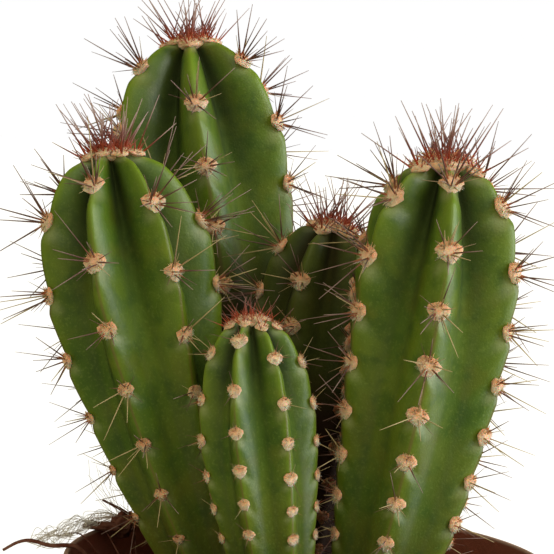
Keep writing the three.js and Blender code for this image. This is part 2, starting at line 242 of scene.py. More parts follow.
STEMS = [
    Stem(
        place="front_left",
        foot=(-27, -14),
        apex=(-73, -14, 289.4),
        bow=-5.1,
        belly=29.3,
        dome=46,
        foot_radius=12.5,
        taper=1.15,
        ribs=7,
        turn=-15,
        twist=0,
        valley=0.32,
        starts=(9.6, 17.8, 27.2, 14, 24, 12, 19.4),
        gaps=(24.3, 11.8),
        wool=6.5,
        felt_age=0.9,
        young_ratio=0.25,
        pads=(0.92, 0.36),
    ),
    Stem(
        place="back_left",
        foot=(-31, 50),
        apex=(-51.4, 56, 327.3),
        bow=0.5,
        belly=35,
        dome=52,
        foot_radius=16,
        taper=2,
        ribs=6,
        turn=0.5,
        twist=28,
        valley=0.33,
        starts=(23, 9.1, 20, 12, 24, 9.1),
        gaps=(22.7, 16),
        wool=7.5,
        felt_age=0.8,
        young_ratio=0.27,
        painted_shade=(0.0, 0.85),
        pads=(0.85, 0.5),
    ),
    Stem(
        place="right",
        foot=(21, -22),
        apex=(39, -24, 291.3),
        bow=4,
        belly=29.3,
        dome=47,
        foot_radius=14.4,
        taper=1.8,
        ribs=6,
        turn=7.5,
        twist=-19,
        valley=0.32,
        starts=(6.5, 13.2, 9, 18, 9.5, 12),
        gaps=(20.8, 10.7),
        wool=9.5,
        felt_age=0.3,
        bulge=1.5,
    ),
    Stem(
        place="front_small",
        foot=(-8, -38),
        apex=(-22.5, -42, 239),
        bow=-1.3,
        belly=19,
        dome=38,
        foot_radius=9.5,
        taper=1.5,
        ribs=7,
        turn=-19,
        twist=0,
        valley=0.22,
        starts=(6, 11.8, 15, 9, 17, 12.5, 10.4),
        gaps=(15.2, 5.8),
        wool=5.4,
        felt_age=0.2,
        spine_size=0.4,
        pads=(0.78, 0.52),
    ),
    Stem(
        place="middle_back",
        foot=(-7, 12),
        apex=(3.5, 14, 266.4),
        bow=-2,
        belly=21.7,
        dome=34,
        foot_radius=12.5,
        taper=1.6,
        ribs=6,
        turn=-24,
        twist=0,
        valley=0.26,
        starts=(20, 18, 11, 19, 13, 11.1),
        gaps=(16.3, 10),
        wool=6.5,
        felt_age=2.2,
        young_ratio=0.35,
        painted_shade=(0.55, 1.0),
        spine_size=0.9,
    ),
]


class Flesh:
    """The skin of a stem: its ribs, with a notch at each areole and a swelling under it."""

    def __init__(self, stem):
        self.stem = stem
        self.areoles = []
        for rib in range(stem.ribs):
            depths = stem.young(rib) + stem.grown(rib)
            self.areoles.append([stem.arc(depth) for depth in depths])

    def swelling(self, arc, rib, aside):
        """How far the skin swells out at a way down from the tip and a distance aside from the crest."""
        down = arc - CHEVRON * aside
        arcs = self.areoles[rib % self.stem.ribs]
        above = [a for a in arcs if a <= down]
        if not above:
            return 0
        under = [a for a in arcs if a > down]
        gap = (under[0] if under else above[-1] + LAST_BULGE) - above[-1]
        share = clamp((down - above[-1]) / gap)
        shape = smooth(share, 0, 0.3) * (1 - share) ** 0.7
        return BULGE * min(gap, BULGE_GAP) * (shape - 0.45)

    def radius(self, depth, rib):
        """The skin's distance from the axis. A rib's number may lie between two ribs."""
        stem = self.stem
        crest = stem.crest_radius(depth)
        place = rib - round(rib)
        low = smooth(depth, 0.4 * stem.dome, 2.2 * stem.dome)
        valley = VALLEY_AT_FOOT + 1.9 * stem.valley * math.exp(-depth / (1.35 * stem.dome))
        wave = abs(math.sin(math.pi * place))
        radius = crest * (1 - valley * (0.3 * wave + 0.7 * wave**2))
        aside = abs(place) * 2 * math.pi * crest / stem.ribs
        near_crest = 1 - smooth(abs(place), 0.06, mix(0.4, 0.25, low))
        fade = smooth(crest, 2, 9)
        ridge = RIDGE_HEIGHT * math.exp(-((aside / RIDGE_WIDTH) ** 2))
        swell = self.swelling(stem.arc(depth), round(rib), aside) * near_crest
        return radius + fade * (ridge + swell * stem.bulge * mix(1, 0.7, low))

    def point(self, depth, rib):
        stem = self.stem
        bearing = math.radians(stem.turn + 360 * rib / stem.ribs + stem.twist * depth / stem.height)
        _, right, back = stem.across(depth)
        way = right * math.sin(bearing) - back * math.cos(bearing)
        place = stem.axis(depth) + way * self.radius(depth, rib)
        return place + way * UNEVENNESS * noise.noise(place * 0.045)

    def seat(self, depth, rib, radius):
        """Where an areole sits on a rib's crest."""
        above = self.point(max(depth - SLOPE_REACH, 0), rib)
        below = self.point(depth + SLOPE_REACH, rib)
        down = (below - above).normalized()
        side = (self.point(depth, rib + 0.08) - self.point(depth, rib - 0.08)).normalized()
        return Seat(self.point(depth, rib), down.cross(side).normalized(), down, radius)


def clear_of_others(point, own):
    """Whether a point lies a little clear of every other stem, the pot's rim and the soil."""
    if point.z < SOIL_TOP + 2:
        return False
    if point.z < POT_HEIGHT + 1.5 and math.hypot(point.x, point.y) > POT_RIM - 4:
        return False
    for stem in STEMS:
        depth = stem.apex[2] - point.z
        if stem is own or depth < -2:
            continue
        shallow = clamp(depth, 0, stem.height)
        if (point - stem.axis(shallow)).length < stem.crest_radius(shallow + 2) + 1:
            return False
    return True


# ---------------------------------------------------------------------------------------------------------
# Pieces
# ---------------------------------------------------------------------------------------------------------


def finish_piece(name, mesh_in_mm, finish, replaced=(), flat=False):
    """Turns a bmesh in millimetres into a piece of the object."""
    for face in mesh_in_mm.faces:
        face.smooth = not flat
    bmesh.ops.scale(mesh_in_mm, vec=Vector((METRES,) * 3), verts=mesh_in_mm.verts)
    mesh = bpy.data.meshes.new(name)
    mesh_in_mm.to_mesh(mesh)
    mesh_in_mm.free()
    mesh.materials.append(finish.material)
    piece = bpy.data.objects.new(name, mesh)
    bpy.context.scene.collection.objects.link(piece)
    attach(piece, "root")
    if replaced:
        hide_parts(*replaced)


def aimed(place, way, roll=0.0):
    """A matrix that puts a shape at a place with its Z along a way."""
    turn = way.to_track_quat("Z", "Y").to_matrix().to_4x4()
    return Matrix.Translation(place) @ turn @ Matrix.Rotation(roll, 4, "Z")


def spun(profile, steps):
    """A round body spun from a profile of radius and height pairs that starts and ends on the axis."""
    bm = bmesh.new()
    verts = [bm.verts.new((radius, 0, height)) for radius, height in profile]
    edges = [bm.edges.new(pair) for pair in zip(verts, verts[1:])]
    bmesh.ops.spin(
        bm,
        geom=verts + edges,
        cent=(0, 0, 0),
        axis=(0, 0, 1),
        angle=2 * math.pi,
        steps=steps,
        use_merge=True,
    )
    bmesh.ops.remove_doubles(bm, verts=bm.verts, dist=0.001)
    bmesh.ops.recalc_face_normals(bm, faces=bm.faces)
    return bm


def stem_flesh(stem):
    """A stem's skin: a round grid, each vertex moved to its depth and its place round the ribs."""
    flesh = Flesh(stem)
    columns = COLUMNS_PER_RIB * stem.ribs
    last = stem.height + BURIED
    rows = math.ceil(stem.arc(last) / ROW_STEP)
    angles = [math.pi * row / rows for row in range(rows + 1)]
    bm = spun([(math.sin(angle), -math.cos(angle)) for angle in angles], columns)
    valley = bm.verts.layers.float.new("valley")
    age = bm.verts.layers.float.new("age")
    under = bm.verts.layers.float.new("under_areole")
    painted_shade = bm.verts.layers.float.new("painted_shade")
    for vert in bm.verts:
        row = round(math.acos(clamp(vert.co.z, -1, 1)) / math.pi * rows)
        column = round(math.atan2(vert.co.y, vert.co.x) / (2 * math.pi) * columns)
        depth = min(stem.depth_at(row * ROW_STEP), last)
        rib = column / COLUMNS_PER_RIB
        vert.co = stem.axis(last) if row == rows else flesh.point(depth, rib)
        vert[valley] = 2 * abs(rib - round(rib))
        vert[age] = clamp(depth / stem.height)
        vert[under] = below_areole(flesh, depth, rib)
        # Painted shade: how far the skin is darkened to brown, from the stem's two values.
        vert[painted_shade] = mix(*stem.painted_shade, smooth(depth / stem.height, 0.3, 0.52))
    finish_piece("flesh_" + stem.place, bm, FLESH, ["stem_" + stem.place])
    return flesh


def below_areole(flesh, depth, rib):
    """How much of the pale wax under an areole a point of the skin has."""
    stem = flesh.stem
    aside = abs(rib - round(rib)) * 2 * math.pi * stem.crest_radius(depth) / stem.ribs
    reach = stem.pad_radius(depth)
    arc = stem.arc(depth)
    ways = [arc - areole for areole in flesh.areoles[round(rib) % stem.ribs]]
    nearest = [way for way in ways if 0 < way < 3 * reach]
    if not nearest:
        return 0
    spread = abs(aside - 0.45 * nearest[-1]) / (0.5 * reach)
    return (1 - smooth(nearest[-1], 1.2 * reach, 2.6 * reach)) * math.exp(-spread * spread)


class Cluster:
    """Many small shapes that make one piece. Their vertices carry the named values for the material."""

    def __init__(self, *names):
        self.names = names
        self.whole = bmesh.new()
        self.open_group()

    def open_group(self):
        self.bm = bmesh.new()
        self.layers = {name: self.bm.verts.layers.float.new(name) for name in self.names}

    def close_group(self):
        """Adds the shapes made so far to the whole: a bmesh is slow to add to once it is full."""
        mesh = bpy.data.meshes.new("group")
        self.bm.to_mesh(mesh)
        self.bm.free()
        self.whole.from_mesh(mesh)
        bpy.data.meshes.remove(mesh)
        self.open_group()

    def mark(self, vert, **values):
        for name, value in values.items():
            vert[self.layers[name]] = value

    def cone(self, root, way, length, radius, tip_radius, segments, roll):
        made = bmesh.ops.create_cone(
            self.bm,
            cap_ends=True,
            segments=segments,
            radius1=radius,
            radius2=tip_radius,
            depth=length,
            matrix=aimed(root + way * length / 2, way, roll),
        )
        return made["verts"]

    def finish(self, name, finish, slot, replaced=(), flat=False):
        self.close_group()
        self.bm.free()
        finish_piece(name, self.whole, finish, replaced, flat)


@dataclass(frozen=True)
class Seat:
    """Where an areole sits: its place, the way out of the skin, the way down the rib and its size."""

    place: Vector
    normal: Vector
    down: Vector
    radius: float

    @property
    def side(self):
        return self.down.cross(self.normal)

    def flat(self, bearing):
        """A way along the skin, by its bearing from straight down."""
        return self.down * math.cos(bearing) + self.side * math.sin(bearing)

    def leaning(self, bearing, tilt):
        """A way that leans from the normal by an angle."""
        return (self.normal * math.cos(tilt) + self.flat(bearing) * math.sin(tilt)).normalized()


def scatter(draw, amount):
    """A random number round 0."""
    return amount * (2 * draw.random() - 1)


def felt_pad(felt, seat, tint, fibres, draw):
    """A felt pad like a shield, round at its top and narrow at its foot, with a fringe of fibres."""
    made = bmesh.ops.create_uvsphere(felt.bm, u_segments=12, v_segments=7, radius=1)
    shift = Vector((draw.random(), draw.random(), draw.random())) * 40
    radius = seat.radius
    for vert in made["verts"]:
        x, y, z = vert.co
        narrow = 1.05 - 0.42 * smooth(y, -0.1, 1.0)
        long = 0.98 if y > 0 else 0.8
        rough = 1 + 0.36 * noise.noise(vert.co * 1.7 + shift)
        flat = seat.side * (x * narrow) + seat.down * (y * long)
        vert.co = seat.place + flat * rough * radius + seat.normal * radius * (0.14 + z * 0.36 * rough)
        felt.mark(vert, fall=clamp(0.5 + 0.5 * y), tint=tint)
    for i in range(fibres):
        bearing = 2 * math.pi * (i + draw.random()) / fibres
        spread = math.sqrt(mix(0.15, 1, draw.random()))
        way = seat.leaning(bearing, mix(0.3, 1.5, spread))
        from_middle = seat.flat(bearing) * 0.66 * spread + seat.normal * mix(0.5, 0.25, spread)
        root = seat.place + from_middle * radius
        length = mix(*FIBRE_LENGTHS, draw.random()) * radius
        thick, thin = (share * radius for share in FIBRE_RADII)
        for vert in felt.cone(root, way, length, thick, thin, 3, bearing):
            felt.mark(vert, fall=clamp(0.5 + 0.5 * math.cos(bearing)), tint=tint)


def spine(spines, root, way, length, radius, pale, own, draw):
    """A tapered spine, shortened where it would reach another piece, or left out."""
    for share in (1, 0.8, 0.6, 0.4):
        tips = [root + way * length * share * part for part in (0.4, 0.6, 0.8, 1)]
        if all(clear_of_others(tip, own) for tip in tips):
            break
    else:
        return
    length *= share
    for vert in spines.cone(root, way, length, radius, SPINE_TAPER * radius, 4, 6 * draw.random()):
        spines.mark(vert, along=clamp((vert.co - root).dot(way) / SPINE_FADE), pale=pale)


def areole_spines(spines, seat, own, age, draw):
    """The spines of a grown areole: long ones that lean every way, and a ring of short ones."""
    size = mix(1.08, 0.6, age) * own.spine_size
    centrals = round(mix(11, 2.2, age**0.6) * own.spine_size) - (draw.random() < 0.4)
    radials = round(mix(6, 1.6, age))
    for i in range(centrals):
        bearing = math.pi + 2 * math.pi * i / centrals + scatter(draw, 0.45)
        way = seat.leaning(bearing, mix(0.15, 1.0, draw.random()))
        root = seat.place + (seat.flat(bearing) * 0.35 + seat.normal * 0.3) * seat.radius
        length = mix(*LONG_SPINES, draw.random()) * size
        pale = 0.9 * (draw.random() < mix(0.05, 0.8, age))
        spine(spines, root, way, length, 0.33 * size, pale, own, draw)
    for i in range(radials):
        bearing = 2 * math.pi * (i + 0.5) / radials + scatter(draw, 0.3)
        way = seat.leaning(bearing, mix(0.6, 1.3, draw.random()))
        root = seat.place + (seat.flat(bearing) * 0.5 + seat.normal * 0.35) * seat.radius
        length = mix(*SHORT_SPINES, draw.random()) * size
        spine(spines, root, way, length, 0.2 * size, 0.9 * draw.random(), own, draw)


def stem_areoles(stem, flesh, draw):
    """The felt pads and the spines of a stem's grown areoles, each as one piece."""
    felt = Cluster("fall", "tint")
    spines = Cluster("along", "pale")
    for rib in range(stem.ribs):
        for depth in stem.grown(rib):
            seat = flesh.seat(depth, rib, stem.pad_radius(depth) * mix(1.15, 1.35, draw.random()))
            age = depth / stem.height
            felt_pad(felt, seat, clamp(age * stem.felt_age + scatter(draw, 0.15)), FELT_FIBRES, draw)
            areole_spines(spines, seat, stem, age, draw)
            felt.close_group()
            spines.close_group()
    felt.finish("felt_" + stem.place, FELT, "crown_wool")
    spines.finish("spines_" + stem.place, SPINE, "spine")


def stem_crown(stem, flesh, draw):
    """The crown: young felt pads that crowd round a woolly cushion, and the young spines on them."""
    wool = Cluster("fall", "tint")
    spines = Cluster("along", "pale")
    up = stem.across(0)[0]
    cushion = Seat(stem.axis(0) - up * CUSHION_SINK, up, Vector((0, -1, 0)), stem.wool)
    seats = [(cushion, CUSHION_SPINES)]
    for rib in range(stem.ribs):
        for depth in stem.young(rib):
            from_tip = smooth(stem.arc(depth), 3, 14)
            seat = flesh.seat(depth, rib, stem.pad_radius(depth) * mix(0.85, 1.1, from_tip))
            seats.append((seat, round(8 + 2 * from_tip)))
    for seat, count in seats:
        felt_pad(wool, seat, -0.5, CROWN_FIBRES, draw)
        for i in range(count):
            spread = math.sqrt((i + 0.5) / count)
            flat = seat.flat(i * GOLDEN_ANGLE + scatter(draw, 0.6))
            way = (up * 0.4 + seat.normal * 0.6 + flat * mix(0.2, 1.0, spread)).normalized()
            root = seat.place + (flat * 0.75 * spread + seat.normal * 0.25) * seat.radius
            long = i % 4 == 0
            length = mix(*(YOUNG_LONG_SPINES if long else YOUNG_SHORT_SPINES), draw.random())
            radius = (0.36 if long else 0.26) * mix(0.1, 1, stem.spine_size)
            spine(spines, root, way, length * stem.spine_size, radius, -1.0, stem, draw)
        wool.close_group()
        spines.close_group()
    wool.finish("crown_wool_" + stem.place, FELT, "crown_wool", ["crown_" + stem.place])
    spines.finish("crown_spines_" + stem.place, SPINE, "spine")


# ---------------------------------------------------------------------------------------------------------
# Pot, soil and roots
# ---------------------------------------------------------------------------------------------------------


def pot_radius(height):
    """The outside of the pot's wall under its band."""
    return mix(POT_BASE, POT_RIM - BAND_STEP, height / POT_HEIGHT)


def rounded(corner, before, after, radius, steps=4):
    """Points that round a corner of a profile between two neighbours."""
    corner, before, after = Vector(corner), Vector(before), Vector(after)
    start = corner + (before - corner).normalized() * radius
    end = corner + (after - corner).normalized() * radius
    shares = [i / steps for i in range(steps + 1)]
    return [start.lerp(corner, s).lerp(corner.lerp(end, s), s) for s in shares]


def pot():
    """The thin moulded pot, with a stepped band under its rim and drain holes in its floor."""
    disc = POT_BASE - 6  # the radius of the flat floor that the holes are cut in
    under_band = POT_HEIGHT - BAND_HEIGHT
    step = under_band + BAND_SLOPE
    inner_step = under_band - POT_WALL
    corners = [  # from below, up the outside and down the inside: radius and height, then the rounding
        ((disc, 0), 0),
        ((POT_BASE, 0), 1.5),
        ((pot_radius(under_band), under_band), 0.5),
        ((POT_RIM - BAND_SLOPE, step), 0.6),
        ((POT_RIM, POT_HEIGHT), 0.7),
        ((POT_RIM - POT_WALL, POT_HEIGHT), 0.7),
        ((pot_radius(under_band) - POT_WALL + BAND_SLOPE, step), 0.6),
        ((pot_radius(inner_step) - POT_WALL, inner_step), 0.5),
        ((pot_radius(POT_FLOOR) - POT_WALL, POT_FLOOR), 1.5),
        ((disc, POT_FLOOR), 0),
    ]
    profile = []
    for i, (corner, radius) in enumerate(corners):
        if radius:
            profile += rounded(corner, corners[i - 1][0], corners[i + 1][0], radius)
        else:
            profile.append(corner)
    bm = spun(profile, POT_SIDES)
    edges = [edge for edge in bm.edges if edge.is_boundary]
    for i in range(DRAIN_HOLES):
        bearing = (i + 0.5) * 2 * math.pi / DRAIN_HOLES
        place = Matrix.Rotation(bearing, 4, "Z") @ Matrix.Translation((DRAIN_RING, 0, 0))
        rim = bmesh.ops.create_circle(bm, segments=24, radius=DRAIN_RADIUS, matrix=place)["verts"]
        rim = list({edge for vert in rim for edge in vert.link_edges})
        wall = bmesh.ops.extrude_edge_only(bm, edges=rim)["geom"]
        top = [item for item in wall if isinstance(item, bmesh.types.BMVert)]
        bmesh.ops.translate(bm, vec=(0, 0, POT_FLOOR), verts=top)
        edges += rim + [item for item in wall if isinstance(item, bmesh.types.BMEdge)]
    for height in (0, POT_FLOOR):
        level = [edge for edge in edges if all(abs(vert.co.z - height) < 0.01 for vert in edge.verts)]
        bmesh.ops.triangle_fill(bm, edges=level, use_beauty=True)
    bmesh.ops.recalc_face_normals(bm, faces=bm.faces)
    finish_piece("pot_body", bm, POT_PLASTIC, ["pot"])


def soil_height(x, y):
    roll = math.sin(0.11 * x + 0.6) * math.cos(0.09 * y - 0.3) + 0.5 * math.sin(0.21 * y + 0.13 * x)
    return SOIL_TOP + SOIL_RELIEF * roll


def soil():
    """The potting mix, with a crumbled surface."""
    foot = POT_FLOOR + SOIL_CLEARANCE
    reach = pot_radius(SOIL_TOP) - POT_WALL - SOIL_CLEARANCE
    profile = [(0, foot), (POT_BASE - POT_WALL - 3, foot)]
    profile += [(reach * ring / SOIL_RINGS, SOIL_TOP) for ring in range(SOIL_RINGS, -1, -1)]
    bm = spun(profile, POT_SIDES)
    for vert in bm.verts:
        if vert.co.z > SOIL_TOP - 1:
            x, y, _ = vert.co
            clods = noise.noise(Vector((x, y, 0)) * 0.16) + 0.6 * noise.noise(Vector((x, y, 9)) * 0.45)
            vert.co.z = soil_height(x, y) + CLOD_HEIGHT * clods
    finish_piece("soil_bed", bm, SOIL, ["soil"])


def soil_crumbs(draw):
    """Crumbs of bark and peat that lie on the soil."""
    crumbs = Cluster("tint")
    reach = pot_radius(SOIL_TOP) - POT_WALL - 2.5
    for i in range(CRUMBS):
        distance = reach * math.sqrt((i + 0.5) / CRUMBS)
        bearing = i * GOLDEN_ANGLE + scatter(draw, 0.3)
        x, y = distance * math.cos(bearing), distance * math.sin(bearing)
        size = mix(*CRUMB_SIZES, draw.random() ** 2.5)
        place = Matrix.Translation((x, y, soil_height(x, y) + 0.3 * size))
        turn = Matrix.Rotation(6 * draw.random(), 4, "Z") @ Matrix.Rotation(draw.random(), 4, "X")
        shape = Matrix.Diagonal((mix(0.7, 1.6, draw.random()), 1, mix(0.4, 0.8, draw.random()), 1))
        matrix = place @ turn @ shape
        made = bmesh.ops.create_icosphere(crumbs.bm, subdivisions=1, radius=size, matrix=matrix)
        colour = draw.random()
        for vert in made["verts"]:
            crumbs.mark(vert, tint=colour)
        if i % 50 == 0:
            crumbs.close_group()
    crumbs.finish("soil_crumbs", CRUMB, "potting_soil", flat=True)


def strand(bm, points, radius, tip_radius):
    """A tapered, closed strand through points: a ring extruded from point to point."""
    curve = [Vector(p) for p in points]
    made = bmesh.ops.create_circle(bm, cap_ends=True, segments=6, radius=1)
    ring = made["verts"]
    first = (curve[1] - curve[0]).normalized()
    bmesh.ops.transform(bm, matrix=aimed(curve[0], first) @ Matrix.Scale(radius, 4), verts=ring)
    edges = list({edge for vert in ring for edge in vert.link_edges})
    for i in range(1, len(curve)):
        grown = bmesh.ops.extrude_edge_only(bm, edges=edges)["geom"]
        ring = [item for item in grown if isinstance(item, bmesh.types.BMVert)]
        edges = [item for item in grown if isinstance(item, bmesh.types.BMEdge)]
        way = (curve[min(i + 1, len(curve) - 1)] - curve[i - 1]).normalized()
        size = mix(radius, tip_radius, i / (len(curve) - 1))
        middle = sum((vert.co for vert in ring), Vector()) / len(ring)
        for vert in ring:
            out = vert.co - middle
            out = (out - way * out.dot(way)).normalized()
            vert.co = curve[i] + out * size
    bmesh.ops.contextual_create(bm, geom=edges)


def curved(points, steps=6):
    """Points of a smooth curve through a route, a Catmull-Rom spline."""
    route = [Vector(p) for p in points]
    route = [2 * route[0] - route[1]] + route + [2 * route[-1] - route[-2]]
    line = []
    for a, b, c, d in zip(route, route[1:], route[2:], route[3:]):
        for step in range(steps):
            t = step / steps
            second = (2 * a - 5 * b + 4 * c - d) * t**2
            third = (3 * b - 3 * c + d - a) * t**3
            line.append((2 * b + (c - a) * t + second + third) / 2)
    return line + [route[-2]]


KNOT = (-62, 6, 137)
TWIG = [
    KNOT,
    (-72, 3, 142),
    (-80, 1, 150),
    (-84.6, 0, 151.3),
    (-90, -1, 151.2),
    (-96.5, -2, 152.9),
    (-101, -3, 152.3),
    (-106, -4, 149.5),
]
STICK = [(-64, 36, 154), (-69, 37, 157), (-76, 38, 160)]
CLUMP = (-68, 37, 151.5)
MAT = [  # the clump and the matted root beside it on the rim: a middle and the half sizes
    (CLUMP, (4.5, 5.5, 4.5)),
    ((-74, 33, 151.5), (8, 5, 1.3)),
]
LACE_LINES = [  # fibres run from each line to the next
    ((-86, 0, 151.6), (-98, -2, 152.2)),
    ((-83, 13, 151.8), (-95, 19, 150)),
    ((-76, 30, 152.5), (-83, 34, 153)),
    ((-68, 46, 152), (-74, 53, 152)),
]
ROOTLETS = [
    [KNOT, (-70, 12, 141), (-78.5, 16, 149.5), (-82.6, 18.5, 151.6), (-88, 21, 150.6)],
    [KNOT, (-66, 20, 141), (-72.5, 30, 148.6), (-75.5, 34.2, 151.9), (-80, 36, 152.8)],
    [KNOT, (-62, 24, 140), (-64, 40, 147), (-67, 48.5, 151.8), (-73, 54, 151.4)],
]


def dry_roots():
    """A dry twig, rootlets and a clump of root over the pot's left rim."""
    bm = bmesh.new()
    strand(bm, curved(TWIG), *TWIG_RADII)
    strand(bm, curved(STICK), *STICK_RADII)
    for route in ROOTLETS:
        strand(bm, curved(route), *ROOTLET_RADII)
    for middle, sizes in MAT:
        made = bmesh.ops.create_icosphere(bm, subdivisions=4, radius=1)
        for vert in made["verts"]:
            rough = 1 + 0.3 * noise.noise(vert.co * 2.1) + 0.2 * noise.noise(vert.co * 6)
            vert.co = Vector(middle) + Vector(sizes) * vert.co * rough
    bmesh.ops.recalc_face_normals(bm, faces=bm.faces)
    finish_piece("roots", bm, ROOT, ["dry_roots"])


def root_lace(draw):
    """Fine pale fibres between the rootlets, and a few that climb from the clump along the stem."""
    bm = bmesh.new()
    for i in range(LACE_FIBRES):
        lines = LACE_LINES[i % 3 : i % 3 + 2]
        start, end = [Vector(a).lerp(Vector(b), draw.random()) for a, b in lines]
        sway = Vector((scatter(draw, 5) - 1, scatter(draw, 4), scatter(draw, 3.6) + 0.6))
        middle = start.lerp(end, 0.5) + sway
        strand(bm, curved([start, middle, end], 5), *LACE_RADII)
    for _ in range(CLIMBING_FIBRES):
        start = Vector(CLUMP) + Vector((scatter(draw, 4), scatter(draw, 4), 3))
        end = start + Vector((-5 - 8 * draw.random(), scatter(draw, 5), 5 + 16 * draw.random()))
        middle = start.lerp(end, 0.5) + Vector((scatter(draw, 3), scatter(draw, 3), 0))
        strand(bm, curved([start, middle, end], 5), *CLIMBING_RADII)
    bmesh.ops.recalc_face_normals(bm, faces=bm.faces)
    finish_piece("root_lace", bm, LACE)


# ---------------------------------------------------------------------------------------------------------
# Finishes
# ---------------------------------------------------------------------------------------------------------


def linear(level):
    """A screen's level, 0 to 255, as linear light. This is the sRGB curve."""
    share = level / 255
    return ((share + 0.055) / 1.055) ** 2.4 if level > 10 else share / 12.92


def paint(red, green, blue):
    """A colour given as it looks on a screen, as Blender's linear colour."""
    return (linear(red), linear(green), linear(blue), 1)


class Wire:
    """A value, colour or vector in a material. Adding, multiplying or taking it away adds a Math node."""

    def __init__(self, finish, socket):
        self.finish = finish
        self.socket = socket

    def maths(self, operation, first, second):
        return self.finish.node("ShaderNodeMath", {"operation": operation}, {0: first, 1: second})

    def __add__(self, other):
        return self.maths("ADD", self, other)

    def __rsub__(self, other):
        return self.maths("SUBTRACT", other, self)

    def __mul__(self, other):
        return self.maths("MULTIPLY", self, other)

    __radd__ = __add__
    __rmul__ = __mul__


class Finish:
    """A material on the Principled shader. constants are the shader's own socket values."""

    def __init__(self, name, constants):
        self.material = bpy.data.materials.new(name)
        self.material.use_nodes = True
        self.tree = self.material.node_tree
        self.shader = self.tree.nodes["Principled BSDF"]
        for socket, value in constants.items():
            self.shader.inputs[socket].default_value = value

    def feed(self, socket, value):
        if isinstance(value, Wire):
            self.tree.links.new(value.socket, socket)
        else:
            socket.default_value = value

    def node(self, kind, settings, inputs, output=0):
        """Any node: its settings are set first, then the values or wires of its sockets."""
        made = self.tree.nodes.new(kind)
        for name, value in settings.items():
            setattr(made, name, value)
        for name, value in inputs.items():
            self.feed(made.inputs[name], value)
        return Wire(self, made.outputs[output])

    def surface(self, **wires):
        """Links wires to the shader: base_color, roughness, normal and so on."""
        for name, wire in wires.items():
            self.feed(self.shader.inputs[name.replace("_", " ").title()], wire)

    def place(self):
        return self.node("ShaderNodeTexCoord", {}, {}, 3)

    def attribute(self, name):
        return self.node("ShaderNodeAttribute", {"attribute_name": name}, {}, 2)

    def noise(self, scale, detail=2.0):
        """Noise from 0 to 1. scale is in waves a metre."""
        inputs = {"Vector": self.place(), "Scale": scale, "Detail": detail}
        return self.node("ShaderNodeTexNoise", {}, inputs)

    def step(self, value, low, high):
        """0 below low and 1 above high, with a smooth change between them."""
        settings = {"interpolation_type": "SMOOTHSTEP"}
        inputs = {"Value": value, "From Min": low, "From Max": high}
        return self.node("ShaderNodeMapRange", settings, inputs)

    def blend(self, share, first, second):
        """From the first colour to the second."""
        return self.node("ShaderNodeMix", {"data_type": "RGBA"}, {0: share, 6: first, 7: second}, 2)

    def bump(self, height, distance):
        inputs = {"Height": height, "Distance": distance, "Strength": 1.0}
        return self.node("ShaderNodeBump", {}, inputs)


def flesh_finish():
    """Waxy green skin, olive and corky at the foot; painted crest highlight and valley shade."""
    skin = Finish("cactus_flesh", {"Coat Roughness": 0.34, "IOR": 1.42})
    valley = skin.attribute("valley")
    age = skin.attribute("age")
    wax = skin.attribute("under_areole")
    patch = skin.step(skin.noise(34, 3), 0.3, 0.7)
    mottle = skin.noise(160, 3)
    grain = skin.noise(1400, 2)

    # Patches of two greens, yellower at the tip and duller at the foot, with dark and olive spots.
    green = skin.blend(patch, paint(70, 100, 20), paint(97, 118, 28))
    old = skin.step(age + 0.12 * patch, 0.02, 0.35)
    green = skin.blend(old, paint(84, 114, 18), green)
    green = skin.blend(skin.step(age + 0.2 * patch, 0.55, 1.1), green, paint(82, 92, 20))
    green = skin.blend(0.6 * skin.step(mottle, 0.42, 0.72), green, paint(54, 86, 20))
    green = skin.blend(0.4 * skin.step(skin.noise(75, 4), 0.5, 0.7), green, paint(106, 110, 22))

    # Painted highlight: lighter crests, the young ones most of all. Then pale flecks.
    ridge = 1 - skin.step(valley, 0.0, 0.3)
    green = skin.blend(0.35 * ridge, green, paint(114, 138, 16))
    green = skin.blend(0.45 * ridge * (1 - old), green, paint(130, 158, 24))
    green = skin.blend(0.25 * skin.step(skin.noise(1100, 1), 0.55, 0.7), green, paint(120, 140, 60))

    # Painted shade in valleys and on shaded stretches; a corky line on old crests; pale wax under areoles.
    # Painted shade: the valleys are darkened, most of all near the tip.
    shade = 0.88 - 0.66 * skin.step(age, 0.04, 0.36)
    green = skin.blend(skin.step(valley, 0.26, 0.8) * shade, green, paint(24, 34, 0))
    line = (1 - skin.step(valley, 0.0, 0.07)) * skin.step(age + 0.3 * mottle, 0.25, 0.5)
    green = skin.blend(0.6 * line, green, paint(112, 94, 52))
    green = skin.blend(0.3 * wax, green, paint(176, 178, 140))
    # Painted shade: the skin goes brown and dull where a stem stands in shade between the others.
    painted_shade = skin.attribute("painted_shade")
    green = skin.blend(painted_shade, green, paint(48, 28, 12))

    groove = skin.step(valley, 0.5, 0.85)
    rough = 0.34 + 0.14 * mottle + 0.1 * skin.step(age, 0.4, 1.0) + 0.6 * painted_shade + 0.45 * groove
    coat = (0.6 - 0.2 * old) * (1 - painted_shade) * (1 - groove)
    bump = skin.bump(grain + 2 * mottle, 0.00012)
    skin.surface(base_color=green, roughness=rough, coat_weight=coat, normal=bump)
    return skin


